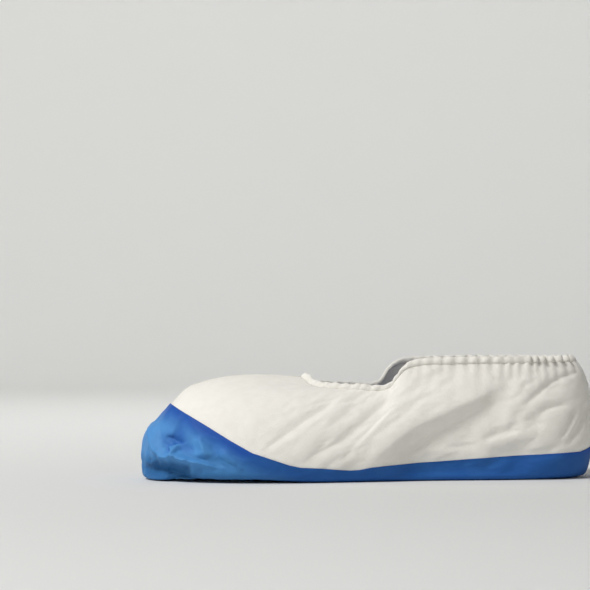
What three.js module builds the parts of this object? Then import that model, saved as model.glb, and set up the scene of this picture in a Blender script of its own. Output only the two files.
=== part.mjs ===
// A disposable shoe cover, standing in the form that a foot gives it.
//
// The real one is a bag. Two walls of white nonwoven are welded to each other along the toe and
// the heel and gathered at the ankle by an elastic hem. Their lower edges are welded into a boat
// of blue film, which is the sole and laps up round the foot, highest at the toe.
//
// Millimetres, +Z up. The toe points to -X and the outer side of the foot faces -Y. The origin is
// the middle of the sole, on the floor.
import * as THREE from "three";
import { mergeVertices } from "three/addons/utils/BufferGeometryUtils.js";

const WALL = 1.2; // thickness of the nonwoven and of the film
const GAP = 0.3; // between pieces that are welded to each other
const HALF_LENGTH = 150; // of the whole cover
const TOE_SWING = 5; // how far the toe leans to the inner side of the foot
const TO_MIDDLE = { x: -0.85, y: -1.0 }; // from the seams' plane to the middle of the cover's box

// Steps round the cover and up it. COLUMNS is a multiple of two, so that a column lies on each seam.
const COLUMNS = 84;
const SOLE_ROWS = 3;
const SOLE_MIDDLE = 0.8; // the sole's columns meet on a middle line of this share of its length
const FILM_ROWS = 4;
const WALL_ROWS = 12;

// One row for each section round the outer side of the cover, from the toe seam to the heel seam.
//   round                share of the way round, 0 at the toe and 1 at the heel
//   floorX, floorY       where the section leaves the floor
//   belly, bellyZ        how far it swells past its floor line, and the height of that
//   inward, out, browZ   where it turns over the foot: the share of the way in from the floor line
//                        to the opening, how far outside that it lies, and the height
//   rimX, rimY, rimZ     where it meets the hem
const SECTIONS = [
  { round: 0.0, floorX: -148.4, floorY: 0, belly: 4.4, bellyZ: 28, inward: 0.015, out: 0, browZ: 76.8,
    rimX: -45, rimY: 0, rimZ: 66.8 },
  { round: 0.055, floorX: -143.9, floorY: 18, belly: 4.9, bellyZ: 28, inward: 0.025, out: 0, browZ: 73.3,
    rimX: -43.5, rimY: 5, rimZ: 65.8 },
  { round: 0.13, floorX: -126.5, floorY: 34, belly: 6.1, bellyZ: 26.4, inward: 0.078, out: 0, browZ: 66,
    rimX: -39, rimY: 12.5, rimZ: 62 },
  { round: 0.225, floorX: -93.9, floorY: 45, belly: 7.3, bellyZ: 22.6, inward: 0.161, out: 0, browZ: 58.3,
    rimX: -30, rimY: 19, rimZ: 60.5 },
  { round: 0.34, floorX: -55.3, floorY: 46, belly: 9.5, bellyZ: 22, inward: 0.24, out: 0, browZ: 51.5,
    rimX: -13, rimY: 24.5, rimZ: 59.5 },
  { round: 0.49, floorX: -5, floorY: 39, belly: 11.5, bellyZ: 24, inward: 0.3, out: 0, browZ: 47,
    rimX: 9, rimY: 28, rimZ: 60 },
  { round: 0.56, floorX: 16, floorY: 36, belly: 11.5, bellyZ: 25, inward: 0.32, out: 1, browZ: 51,
    rimX: 22.5, rimY: 29.5, rimZ: 73.5 },
  { round: 0.65, floorX: 45, floorY: 33.5, belly: 12, bellyZ: 26, inward: 0.35, out: 2, browZ: 55,
    rimX: 50, rimY: 31, rimZ: 76 },
  { round: 0.82, floorX: 98, floorY: 31.5, belly: 13, bellyZ: 24, inward: 0.35, out: 4, browZ: 58,
    rimX: 100, rimY: 29.5, rimZ: 76.5 },
  { round: 0.92, floorX: 131, floorY: 21.5, belly: 12.5, bellyZ: 13, inward: 0.4, out: 10, browZ: 60,
    rimX: 129, rimY: 17.5, rimZ: 77 },
  { round: 1.0, floorX: 143, floorY: 0, belly: 9.5, bellyZ: 5, inward: 0.5, out: 14.5, browZ: 62,
    rimX: 139.5, rimY: 0, rimZ: 77.5 },
];

// The film's upper edge, seen from the side: its height at each place along the foot, with x as in
// the sections. It is cut straight from row to row.
const FILM_EDGE = [
  { x: -131.3, z: 49.8 },
  { x: -107.6, z: 35.2 },
  { x: -81.3, z: 19.6 },
  { x: -57.5, z: 11.7 },
  { x: -37.3, z: 9.5 },
  { x: -18.3, z: 7.9 },
  { x: 1.7, z: 10.2 },
  { x: 40.7, z: 12.6 },
  { x: 93.7, z: 16.1 },
  { x: 141.7, z: 19.4 },
  { x: 149.7, z: 22 },
];

// The main folds, each a straight valley seen from the side, or a ridge where its depth is
// negative. Both walls have them, and the inner wall's are a little shallower.
const FOLDS = [
  { fromX: -70, fromZ: 20, toX: -18, toZ: 56, depth: 2.2, width: 6 }, // over the ball
  { fromX: -45, fromZ: 13, toX: 17, toZ: 60, depth: 2.4, width: 6 }, // from the ball to the ankle
  { fromX: -8, fromZ: 10, toX: 84, toZ: 62, depth: 5, width: 11 }, // the long one under the ankle
  { fromX: 98, fromZ: 50, toX: 140, toZ: 73, depth: 2.6, width: 5 }, // round the top of the heel
  { fromX: 131, fromZ: 24, toX: 146, toZ: 42, depth: 2.4, width: 6 }, // down the back of the heel
  { fromX: -130, fromZ: 17, toX: -95, toZ: 8, depth: -2.4, width: 6 }, // the film's ridge at the toe
  { fromX: -146, fromZ: 7, toX: -122, toZ: 4, depth: 2.2, width: 5 }, // the pocket below it
];
const INNER_FOLD_SHARE = 0.75;
const FOLD_FREE_ROWS = 4; // the folds fade out over so many rows below the rim, where the elastic pulls

// The crease that the toe seam pulls up, and how far its sides run out.
const TOE_CREASE = { height: 0.8, width: 14, sharpness: 1.5 };

// The flat that the toes stretch the cover to, from their tips down to the film's front: a plane
// square to toward, at the distance off from the origin.
const TOE_FLAT = { toward: new THREE.Vector3(-0.737, 0, 0.676), off: 130.05 };

// Where they fade in: the folds with the distance from the seams' plane, and the toe crease
// forward of the rim and above the floor.
const FOLD_FADE = [2, 16];
const CREASE_FADE = { forward: [40, 110], up: [4, 25] };

const SEAM = { halfWidth: 1.2, proud: 0.5, sunk: 1.5 }; // a welded seam, out of and into the wall
const HEM = { halfHeight: 2.3, halfDepth: 1.7, sides: 6 }; // the hem's roll

const WHITE = new THREE.Color("#e9e6de");
const HEM_WHITE = new THREE.Color("#e3e0d8");
const BLUE = new THREE.Color("#2b5ba6");

// A section's value at any place round the cover, smooth through the table's rows. The table is
// mirrored past both seams, and floorY and rimY change sign there.
function sectionValue(name, round) {
  const sign = name === "floorY" || name === "rimY" ? -1 : 1;
  const rows = SECTIONS.map((row) => ({ at: row.round, value: row[name] }));
  const count = rows.length;
  const padded = [
    { at: -rows[1].at, value: sign * rows[1].value },
    ...rows,
    { at: 2 - rows[count - 2].at, value: sign * rows[count - 2].value },
  ];
  let i = 1;
  while (i < count - 1 && round > padded[i + 1].at) i += 1;
  const slope = (k) =>
    (padded[k + 1].value - padded[k - 1].value) / (padded[k + 1].at - padded[k - 1].at);
  const step = padded[i + 1].at - padded[i].at;
  const t = (round - padded[i].at) / step;
  return (
    (2 * t ** 3 - 3 * t ** 2 + 1) * padded[i].value +
    (t ** 3 - 2 * t ** 2 + t) * step * slope(i) +
    (3 * t ** 2 - 2 * t ** 3) * padded[i + 1].value +
    (t ** 3 - t ** 2) * step * slope(i + 1)
  );
}

// The line on which the cover leaves the floor, at any turn.
function floorLine(turn) {
  const around = (turn + 2) % 2;
  const round = Math.min(around, 2 - around);
  const side = around <= 1 ? -1 : 1;
  return new THREE.Vector3(sectionValue("floorX", round), side * sectionValue("floorY", round), 0);
}
const NEARBY = 0.02; // the step that the floor line's direction is measured over

// A column of the cover: a cubic curve from the floor over the belly and the brow to the rim.
// turn runs from 0 to 2, through 1 at the heel; side is -1 on the outer wall and 1 on the inner.
function column(turn) {
  const round = turn <= 1 ? turn : 2 - turn;
  const side = turn <= 1 ? -1 : 1;
  const at = (name) => sectionValue(name, round);
  const floor = floorLine(turn);
  const rim = new THREE.Vector3(at("rimX"), side * at("rimY"), at("rimZ"));
  // The belly swells square to the floor line.
  const before = floorLine(turn - NEARBY);
  const after = floorLine(turn + NEARBY);
  const out = new THREE.Vector3(after.y - before.y, before.x - after.x, 0).normalize();
  const belly = floor.clone().addScaledVector(out, at("belly"));
  belly.z = at("bellyZ");
  const brow = floor.clone().lerp(rim, at("inward")).addScaledVector(out, at("out"));
  brow.z = at("browZ");
  return { curve: new THREE.CubicBezierCurve3(floor, belly, brow, rim), side };
}

// The height of the film's edge at a place along the foot.
function filmEdge(x) {
  const last = FILM_EDGE.length - 1;
  const place = THREE.MathUtils.clamp(x, FILM_EDGE[0].x, FILM_EDGE[last].x);
  const next = Math.max(1, FILM_EDGE.findIndex((row) => row.x >= place));
  const [from, to] = [FILM_EDGE[next - 1], FILM_EDGE[next]];
  return from.z + ((to.z - from.z) * (place - from.x)) / (to.x - from.x);
}

// Where on its column, from 0 to 1, the film ends: a column passes its edge only once.
function filmShare(curve) {
  let low = 0;
  let high = 0.9;
  while (high - low > 1e-6) {
    const middle = (low + high) / 2;
    const point = curve.getPoint(middle);
    if (point.z < filmEdge(point.x)) low = middle;
    else high = middle;
  }
  return low;
}

// How far the folds and the toe crease push a point of the surface inwards.
function foldDepth(point, side) {
  let depth = 0;
  for (const fold of FOLDS) {
    const from = new THREE.Vector2(fold.fromX, fold.fromZ);
    const along = new THREE.Vector2(fold.toX, fold.toZ).sub(from);
    const here = new THREE.Vector2(point.x, point.z).sub(from);
    const share = THREE.MathUtils.clamp(here.dot(along) / along.lengthSq(), 0, 1);
    const away = here.addScaledVector(along, -share).length();
    const strength = side < 0 ? 1 : INNER_FOLD_SHARE;
    depth += strength * fold.depth * Math.exp(-((away / fold.width) ** 2));
  }
  const { smoothstep } = THREE.MathUtils;
  depth *= smoothstep(Math.abs(point.y), ...FOLD_FADE);
  const toe = smoothstep(-point.x, ...CREASE_FADE.forward) * smoothstep(point.z, ...CREASE_FADE.up);
  const crease = Math.max(0, 1 - Math.abs(point.y) / TOE_CREASE.width) ** TOE_CREASE.sharpness;
  return depth - toe * TOE_CREASE.height * crease;
}

// The grid of the whole outer surface, columns[turn][row], each point with its outward normal.
// Rows run from the middle line of the sole out to its edge, up the film to the film's edge, and
// up the nonwoven to the rim.
function surfaceGrid() {
  const smooth = [];
  for (let c = 0; c < COLUMNS; c += 1) {
    const shape = column((2 * c) / COLUMNS);
    const edge = filmShare(shape.curve);
    const floor = shape.curve.getPoint(0);
    const middle = new THREE.Vector3(floor.x * SOLE_MIDDLE, 0, 0);
    const points = [];
    for (let r = 0; r < SOLE_ROWS; r += 1) points.push(middle.clone().lerp(floor, r / SOLE_ROWS));
    for (let r = 0; r < FILM_ROWS; r += 1) points.push(shape.curve.getPoint((edge * r) / FILM_ROWS));
    for (let r = 0; r <= WALL_ROWS; r += 1)
      points.push(shape.curve.getPoint(edge + ((1 - edge) * r) / WALL_ROWS));
    smooth.push({ points, side: shape.side });
  }
  const smoothColumns = smooth.map(({ points }) => points);
  const folded = smooth.map(({ points, side }, c) =>
    points.map((point, r) => {
      if (r <= SOLE_ROWS) return point;
      const normal = gridNormal(smoothColumns, c, r);
      const fade = Math.min(1, (points.length - 1 - r) / FOLD_FREE_ROWS);
      return point.clone().addScaledVector(normal, -fade * foldDepth(point, side));
    }),
  );
  for (const points of folded)
    for (const point of points) {
      point.y += TOE_SWING * (Math.min(0, point.x) / HALF_LENGTH) ** 2 + TO_MIDDLE.y;
      point.x += TO_MIDDLE.x;
      const past = point.dot(TOE_FLAT.toward) - TOE_FLAT.off;
      point.addScaledVector(TOE_FLAT.toward, -Math.max(0, past));
    }
  return folded.map((points, c) =>
    points.map((point, r) => ({
      point,
      normal: r < SOLE_ROWS ? new THREE.Vector3(0, 0, -1) : gridNormal(folded, c, r),
    })),
  );
}

// The outward normal of a grid of points, from its neighbours round and up.
function gridNormal(columns, c, r) {
  const count = columns.length;
  const rows = columns[0].length;
  const round = columns[(c + 1) % count][r].clone().sub(columns[(c + count - 1) % count][r]);
  const up = columns[c][Math.min(r + 1, rows - 1)].clone().sub(columns[c][Math.max(r - 1, 0)]);
  return round.cross(up).normalize();
}

// A closed solid between two grids of points, outer[column][row] and inner[column][row]. The
// grids either run round and meet (closed), or end at both sides. zipped says that the first row
// is a middle line, where the two sides of the grid meet and need no edge.
function shell(outer, inner, { closed, zipped }) {
  const positions = [];
  const face = (a, b, c) => {
    if (a.distanceTo(b) > 1e-6 && b.distanceTo(c) > 1e-6 && c.distanceTo(a) > 1e-6)
      positions.push(...a.toArray(), ...b.toArray(), ...c.toArray());
  };
  const quad = (a, b, c, d) => {
    face(a, b, c);
    face(a, c, d);
  };
  const columns = outer.length;
  const rows = outer[0].length;
  const lastColumn = closed ? columns : columns - 1;
  for (let c = 0; c < lastColumn; c += 1) {
    const next = (c + 1) % columns;
    for (let r = 0; r < rows - 1; r += 1) {
      quad(outer[c][r], outer[next][r], outer[next][r + 1], outer[c][r + 1]);
      quad(inner[c][r], inner[c][r + 1], inner[next][r + 1], inner[next][r]);
    }
    const top = rows - 1;
    quad(outer[c][top], outer[next][top], inner[next][top], inner[c][top]);
    if (!zipped) quad(outer[next][0], outer[c][0], inner[c][0], inner[next][0]);
  }
  if (!closed)
    for (let r = 0; r < rows - 1; r += 1) {
      quad(outer[0][r], outer[0][r + 1], inner[0][r + 1], inner[0][r]);
      const end = columns - 1;
      quad(outer[end][r + 1], outer[end][r], inner[end][r], inner[end][r + 1]);
    }
  const geometry = new THREE.BufferGeometry();
  geometry.setAttribute("position", new THREE.Float32BufferAttribute(positions, 3));
  return mergeVertices(geometry, 1e-4);
}

const offset = ({ point, normal }, distance) => point.clone().addScaledVector(normal, distance);

function piece(name, geometry, color, roughness) {
  geometry.computeVertexNormals();
  const material = new THREE.MeshStandardMaterial({ color, roughness, metalness: 0 });
  const mesh = new THREE.Mesh(geometry, material);
  mesh.name = name;
  return mesh;
}

const grid = surfaceGrid();
const EDGE_ROW = SOLE_ROWS + FILM_ROWS; // the film's edge, where the nonwoven starts
const RIM_ROW = EDGE_ROW + WALL_ROWS;
const HEEL_COLUMN = COLUMNS / 2;

// The film: sole and upturned sides in one, down to the middle line of the sole.
function soleFilm() {
  const rows = grid.map((points) => points.slice(0, EDGE_ROW + 1));
  const outer = rows.map((points) => points.map((p) => offset(p, 0)));
  const inner = rows.map((points) => points.map((p) => offset(p, -WALL)));
  return piece("sole_film", shell(outer, inner, { closed: true, zipped: true }), BLUE, 0.35);
}

// Where a column above the film starts: a gap's width up from the film's edge.
function clearOfFilm([edge, next]) {
  const up = next.point.clone().sub(edge.point).normalize();
  return edge.point.clone().addScaledVector(up, GAP);
}

// One wall of nonwoven, from the toe seam to the heel seam on one side.
function wall(name, side) {
  const picked = [];
  for (let c = 0; c <= HEEL_COLUMN; c += 1) picked.push(side < 0 ? c : (COLUMNS - c) % COLUMNS);
  if (side > 0) picked.reverse();
  const clearOfSeam = SEAM.halfWidth + GAP;
  const walls = picked.map((c) => {
    const onSeam = c === 0 || c === HEEL_COLUMN;
    return grid[c].slice(EDGE_ROW, RIM_ROW + 1).map(({ point, normal }, r, points) => {
      const moved = r === 0 ? clearOfFilm(points) : point.clone();
      if (onSeam) moved.y += side * clearOfSeam;
      return { point: moved, normal };
    });
  });
  const outer = walls.map((points) => points.map((p) => offset(p, 0)));
  const inner = walls.map((points) => points.map((p) => offset(p, -WALL)));
  return piece(name, shell(outer, inner, { closed: false, zipped: false }), WHITE, 0.9);
}

// The welded seam between the two walls, along one column from the film's edge to the hem.
function seam(name, seamColumn) {
  const line = grid[seamColumn].slice(EDGE_ROW, RIM_ROW + 1);
  const firstSide = seamColumn === 0 ? 1 : -1;
  const place = (distance) =>
    [firstSide, -firstSide].map((side) =>
      line.map(({ point, normal }, r) => {
        const start = r === 0 ? clearOfFilm(line) : point;
        const moved = offset({ point: start, normal }, distance);
        moved.y += side * SEAM.halfWidth;
        return moved;
      }),
    );
  const outer = place(SEAM.proud);
  const inner = place(-SEAM.sunk);
  return piece(name, shell(outer, inner, { closed: false, zipped: false }), WHITE, 0.85);
}

// The elastic hem: a flattened roll that follows the rim, just clear of the walls' top edges.
function openingHem() {
  const rings = grid.map((points) => {
    const { point, normal } = points[RIM_ROW];
    const up = point.clone().sub(points[RIM_ROW - 1].point).normalize();
    const middle = point.clone().addScaledVector(up, HEM.halfHeight + GAP).addScaledVector(normal, -WALL / 2);
    const ring = [];
    for (let s = 0; s < HEM.sides; s += 1) {
      const angle = (2 * Math.PI * s) / HEM.sides;
      ring.push(
        middle
          .clone()
          .addScaledVector(normal, HEM.halfDepth * Math.cos(angle))
          .addScaledVector(up, HEM.halfHeight * Math.sin(angle)),
      );
    }
    return ring;
  });
  const positions = [];
  rings.forEach((ring, c) => {
    const next = rings[(c + 1) % rings.length];
    ring.forEach((a, s) => {
      const t = (s + 1) % ring.length;
      for (const p of [a, next[s], next[t], a, next[t], ring[t]]) positions.push(...p.toArray());
    });
  });
  const geometry = new THREE.BufferGeometry();
  geometry.setAttribute("position", new THREE.Float32BufferAttribute(positions, 3));
  return piece("opening_hem", mergeVertices(geometry, 1e-4), HEM_WHITE, 0.9);
}

const cover = new THREE.Group();
cover.add(
  soleFilm(),
  wall("outer_wall", -1),
  wall("inner_wall", 1),
  seam("toe_seam", 0),
  seam("heel_seam", HEEL_COLUMN),
  openingHem(),
);

export default cover;
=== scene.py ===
"""A disposable shoe cover in the form that a foot gives it: white nonwoven over a boat of blue film.

One surface is worked out for the whole cover and settled as cloth. The film, the two walls, their
welded seams and the elastic hem are then cut from it. Shapes are in millimetres up to the last
step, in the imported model's frame: the toe points to -X, the outer side of the foot faces -Y.
"""
import math

import bpy
import numpy as np
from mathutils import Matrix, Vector
from mathutils.geometry import delaunay_2d_cdt


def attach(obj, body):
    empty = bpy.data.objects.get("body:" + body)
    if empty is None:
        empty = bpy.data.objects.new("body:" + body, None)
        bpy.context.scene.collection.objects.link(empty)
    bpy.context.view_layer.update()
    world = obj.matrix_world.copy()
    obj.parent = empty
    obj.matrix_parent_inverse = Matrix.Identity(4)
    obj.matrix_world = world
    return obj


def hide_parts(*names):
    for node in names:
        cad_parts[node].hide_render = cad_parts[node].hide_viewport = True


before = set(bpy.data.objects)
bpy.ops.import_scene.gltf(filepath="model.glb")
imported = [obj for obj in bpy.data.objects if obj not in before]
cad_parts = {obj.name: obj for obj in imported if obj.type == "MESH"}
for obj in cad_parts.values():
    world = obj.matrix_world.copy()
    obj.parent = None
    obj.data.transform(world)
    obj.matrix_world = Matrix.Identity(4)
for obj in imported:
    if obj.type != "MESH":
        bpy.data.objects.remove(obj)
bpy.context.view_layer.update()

MM = 0.001

# ---------------------------------------------------------------------------------------------
# The form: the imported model's sections, but for one belly_z near the heel
# ---------------------------------------------------------------------------------------------

# Sections round the outer side of the cover, from the toe seam (0) to the heel seam (1).
#   floor_x, floor_y       where the section leaves the floor
#   belly, belly_z         how far it swells past its floor line, and the height of that
#   inward, out, brow_z    where it turns over the foot: the share of the way in to the opening,
#                          how far outside that it lies, and the height
#   rim_x, rim_y, rim_z    where it meets the hem
# Not all of it is set by hand. At the toe a least-squares fit made floor_x, inward and brow_z of the
# first five sections, belly and belly_z of the first four, and the height in TOE_CREASE. It ran with
# the plane in TOE_FLAT, whose direction was worked out from two points of the outline.
SECTIONS = {
    "round": (0.0, 0.055, 0.13, 0.225, 0.34, 0.49, 0.56, 0.65, 0.82, 0.92, 1.0),
    "floor_x": (-148.4, -143.9, -126.5, -93.9, -55.3, -5.0, 16.0, 45.0, 98.0, 131.0, 143.0),
    "floor_y": (0.0, 18.0, 34.0, 45.0, 46.0, 39.0, 36.0, 33.5, 31.5, 21.5, 0.0),
    "belly": (4.4, 4.9, 6.1, 7.3, 9.5, 11.5, 11.5, 12.0, 13.0, 12.5, 9.5),
    "belly_z": (28.0, 28.0, 26.4, 22.6, 22.0, 24.0, 25.0, 26.0, 24.0, 14.0, 5.0),
    "inward": (0.015, 0.025, 0.078, 0.161, 0.24, 0.3, 0.32, 0.35, 0.35, 0.4, 0.5),
    "out": (0.0, 0.0, 0.0, 0.0, 0.0, 0.0, 1.0, 2.0, 4.0, 10.0, 14.5),
    "brow_z": (76.8, 73.3, 66.0, 58.3, 51.5, 47.0, 51.0, 55.0, 58.0, 60.0, 62.0),
    "rim_x": (-45.0, -43.5, -39.0, -30.0, -13.0, 9.0, 22.5, 50.0, 100.0, 129.0, 139.5),
    "rim_y": (0.0, 5.0, 12.5, 19.0, 24.5, 28.0, 29.5, 31.0, 29.5, 17.5, 0.0),
    "rim_z": (66.8, 65.8, 62.0, 60.5, 59.5, 60.0, 73.5, 76.0, 76.5, 77.0, 77.5),
}
HALF_LENGTH = 150.0
TOE_SWING = 5.0  # how far the toe leans to the inner side of the foot
TO_MIDDLE = np.array([-0.85, -1.0, 0.0])  # from the seams' plane to the middle of the cover's box
SOLE_ROUNDING = 4.0  # the radius with which the film turns under the foot
TOE_CREASE = {"height": 0.8, "width": 14.0, "sharpness": 1.5, "ahead": (-40, -110), "up": (4, 25)}
TOE_FLAT = {"toward": (-0.737, 0.0, 0.676), "off": 130.05, "blend": 1.0}
# How far the foot lifts the film's lower edge off the floor beside the toes, from where it starts to
# where it is full and back again towards the tip, and how high up nothing is left of it.
TOE_SPRING = {"height": 2.4, "ahead": (-30, -85), "tip": (-147, -122), "gone": 30}

# The film's upper edge, seen from the side: its height at each place along the foot. These were
# read off and turned into millimetres by a separate script.
FILM_EDGE = {
    "x": (-131.3, -126, -107.6, -95.1, -81.3, -70, -57.5, -50.3, -37.3, -24.3, -18.3,
          -11.8, -5.3, 1.7, 14.7, 40.7, 66.7, 93.7, 121.7, 136.7, 141.7, 149.7),
    "z": (49.8, 46.2, 35.2, 27.4, 19.6, 15.9, 11.7, 10.2, 9.5, 8.4, 7.9,
          8.2, 9.5, 10.2, 11.1, 12.6, 14.4, 16.1, 17.5, 18.1, 19.4, 22),
}


def smooth_step(low, high, value):
    """0 below low and 1 above high, with a smooth cubic between them."""
    t = np.clip((value - low) / (high - low), 0.0, 1.0)
    return t * t * (3 - 2 * t)


def film_edge(x):
    """The height of the film's upper edge at each place along the foot."""
    return np.interp(x - TO_MIDDLE[0], FILM_EDGE["x"], FILM_EDGE["z"])


def section(name, turn):
    """A section's value at each turn, from 0 at the toe over 1 at the heel to 2 at the toe again.

    A smooth cubic through the table's rows, whose slope at each row is that between its two
    neighbours. The table is mirrored past both seams, and sideways values change sign there.
    """
    sign = -1.0 if name.endswith("_y") else 1.0
    share = np.array(SECTIONS["round"])
    rows = np.array(SECTIONS[name])
    at = np.r_[-share[1], share, 2 - share[-2]]
    value = np.r_[sign * rows[1], rows, sign * rows[-2]]
    slope = (value[2:] - value[:-2]) / (at[2:] - at[:-2])
    around = np.asarray(turn) % 2
    place = np.minimum(around, 2 - around)
    row = np.clip(np.searchsorted(share, place, side="right") - 1, 0, len(share) - 2)
    step = share[row + 1] - share[row]
    t = (place - share[row]) / step
    curve = (
        (2 * t**3 - 3 * t**2 + 1) * rows[row]
        + (t**3 - 2 * t**2 + t) * step * slope[row]
        + (3 * t**2 - 2 * t**3) * rows[row + 1]
        + (t**3 - t**2) * step * slope[row + 1]
    )
    return np.where(around > 1, 1.0, sign) * curve


def floor_line(turn):
    """Where the cover leaves the floor at each turn, as (x, y)."""
    return np.stack([section("floor_x", turn), section("floor_y", turn)], axis=-1)


def plain_form(turn, share):
    """The cover without folds: points at every pair of turn and share of the way up.

    Each column is a cubic Bezier curve from the floor over the belly and the brow to the rim. The
    belly and the brow lie out from it, square to the floor line. The lowest few millimetres are
    then tucked in along a quarter circle, where the film turns under the foot.
    """
    floor = floor_line(turn)
    ahead = floor_line(turn + 0.02) - floor_line(turn - 0.02)
    out = np.stack([ahead[:, 1], -ahead[:, 0]], axis=1)
    out /= np.linalg.norm(out, axis=1, keepdims=True)
    rim = np.stack([section("rim_x", turn), section("rim_y", turn)], axis=1)
    inward = section("inward", turn)[:, None]
    flat = np.stack(
        [
            floor,
            floor + out * section("belly", turn)[:, None],
            floor + (rim - floor) * inward + out * section("out", turn)[:, None],
            rim,
        ]
    )
    height = np.stack(
        [0 * turn, section("belly_z", turn), section("brow_z", turn), section("rim_z", turn)]
    )
    w = np.asarray(share)
    weights = np.stack([(1 - w) ** 3, 3 * (1 - w) ** 2 * w, 3 * (1 - w) * w**2, w**3])
    if w.ndim == 1:
        weights = np.repeat(weights[:, None, :], len(turn), axis=1)
    across = np.einsum("knw,kni->nwi", weights, flat)
    up = np.einsum("knw,kn->nw", weights, height)
    below = SOLE_ROUNDING - np.minimum(up, SOLE_ROUNDING)
    tuck = SOLE_ROUNDING - np.sqrt(SOLE_ROUNDING**2 - below**2)
    across -= out[:, None, :] * tuck[:, :, None]
    return np.concatenate([across, up[:, :, None]], axis=2)


def outward(points):
    """The outward normal at each point of a grid that runs round and meets itself."""
    round_way = np.roll(points, -1, axis=0) - np.roll(points, 1, axis=0)
    up_way = np.gradient(points, axis=1)
    normal = np.cross(round_way, up_way)
    return normal / np.linalg.norm(normal, axis=2, keepdims=True)


# ---------------------------------------------------------------------------------------------
# The folds that are placed one by one
# ---------------------------------------------------------------------------------------------

# Each fold is a line on the cover as it is seen from one side: from azimuth 0 the outer side is
# seen, from -90 the toe, from 180 the inner side, and `across` runs to the right as seen from there.
# Depth is negative for a ridge. The widths are how far its two flanks reach, above and below the
# line. Crisp is 0 for a round fold, 1 for one with a sharp line, and 2 for one with flat flanks.
# The outer side's are set by hand round a few points that the film edge's script turned into
# millimetres, and the inner side's are made up.
#    azimuth, depth, above, below, crisp, ((across, up), ...)
FOLDS = (
    # the outer side: folds that fan from the ball up to the ankle
    (0, 1.1, 6, 5, 0.7, ((-79, 18), (-63, 29), (-47, 40), (-34, 48), (-20, 57))),
    (0, 1.1, 5, 7, 0.8, ((-53, 11), (-38, 20), (-22, 28), (-8, 39), (4, 49), (16, 60))),
    (0, 0.3, 4, 5, 0.6, ((-40, 29), (-24, 41), (-9, 53))),
    (0, 0.6, 4, 4, 0.9, ((-27, 11), (-14, 25), (0, 39), (14, 50))),
    (0, -0.6, 3, 3, 1.2, ((-28, 14), (-14, 24), (-2, 34), (16, 52))),
    (0, -2.8, 30, 10, 0.2, ((-14, 9), (0, 19), (14, 28), (28, 37), (48, 46), (71, 56), (88, 64))),
    (0, 2.9, 11, 34, 0.1, ((2, 7), (18, 20), (35, 30), (54, 38), (75, 48), (94, 60))),
    (0, 4.4, 44, 13, 0.0, ((8, 8), (46, 8), (72, 9), (118, 12))),
    (0, 1.6, 12, 8, 0.0, ((70, 14), (84, 15), (102, 17), (126, 19))),
    (0, -0.9, 7, 6, 0.5, ((22, 17), (40, 19), (56, 18))),
    (0, 1.0, 6, 5, 0.4, ((68, 26), (82, 31), (98, 36))),
    # round the heel
    (0, 1.0, 3, 2.5, 1.2, ((96, 48), (104, 54), (112, 60), (120, 65), (128, 68), (141, 70))),
    (0, -0.5, 5, 5, 0.7, ((84, 44), (98, 54), (108, 63), (116, 72))),
    (0, 0.9, 3, 2.5, 1.2, ((106, 42), (112, 46), (119, 48), (127, 48))),
    (0, 0.7, 3, 3, 0.9, ((98, 41), (105, 38), (109, 35))),
    (30, 1.5, 4, 6, 1.0, ((93, 21), (98, 28), (105, 36), (111, 43), (116, 52))),
    (30, 1.1, 3, 4, 1.0, ((88, 26), (93, 33), (98, 40), (103, 48))),
    (0, 0.5, 4, 4, 0.4, ((44, 23), (56, 22), (70, 24))),
    # the inner side
    (180, 2.0, 6, 7, 0.8, ((46, 12), (30, 24), (14, 37), (-2, 50))),
    (180, 1.6, 5, 6, 0.8, ((70, 17), (52, 30), (34, 43), (22, 53))),
    (180, 1.0, 4, 5, 0.7, ((26, 16), (10, 30), (-6, 44))),
    (180, -2.2, 22, 9, 0.3, ((4, 10), (-18, 24), (-44, 38), (-68, 50), (-84, 60))),
    (180, 3.2, 9, 22, 0.4, ((-6, 8), (-28, 22), (-52, 36), (-76, 46), (-92, 54))),
    (180, 1.5, 4, 4, 0.9, ((-92, 42), (-108, 52), (-124, 60), (-138, 68))),
    (180, -1.2, 5, 5, 0.8, ((-30, 16), (-56, 20), (-80, 24))),
    (180, 1.2, 3, 4, 0.9, ((-106, 34), (-120, 42), (-136, 42))),
    (180, 1.7, 4, 4, 0.9, ((-124, 22), (-136, 30), (-144, 44))),
)
END_FADE = 0.25  # the share of a fold's length over which it starts and ends
FLOOR_FADE = 3.5  # mm above the floor, over which folds start
FACING = (0.0, 0.35)  # how squarely the surface faces that side where folds start and are full
SEAM_FADE = (1.0, 12.0)  # mm from the seams' plane, over which folds start
RIM_FADE = (0.0, 10.0)  # mm from the rim, over which they do


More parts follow.
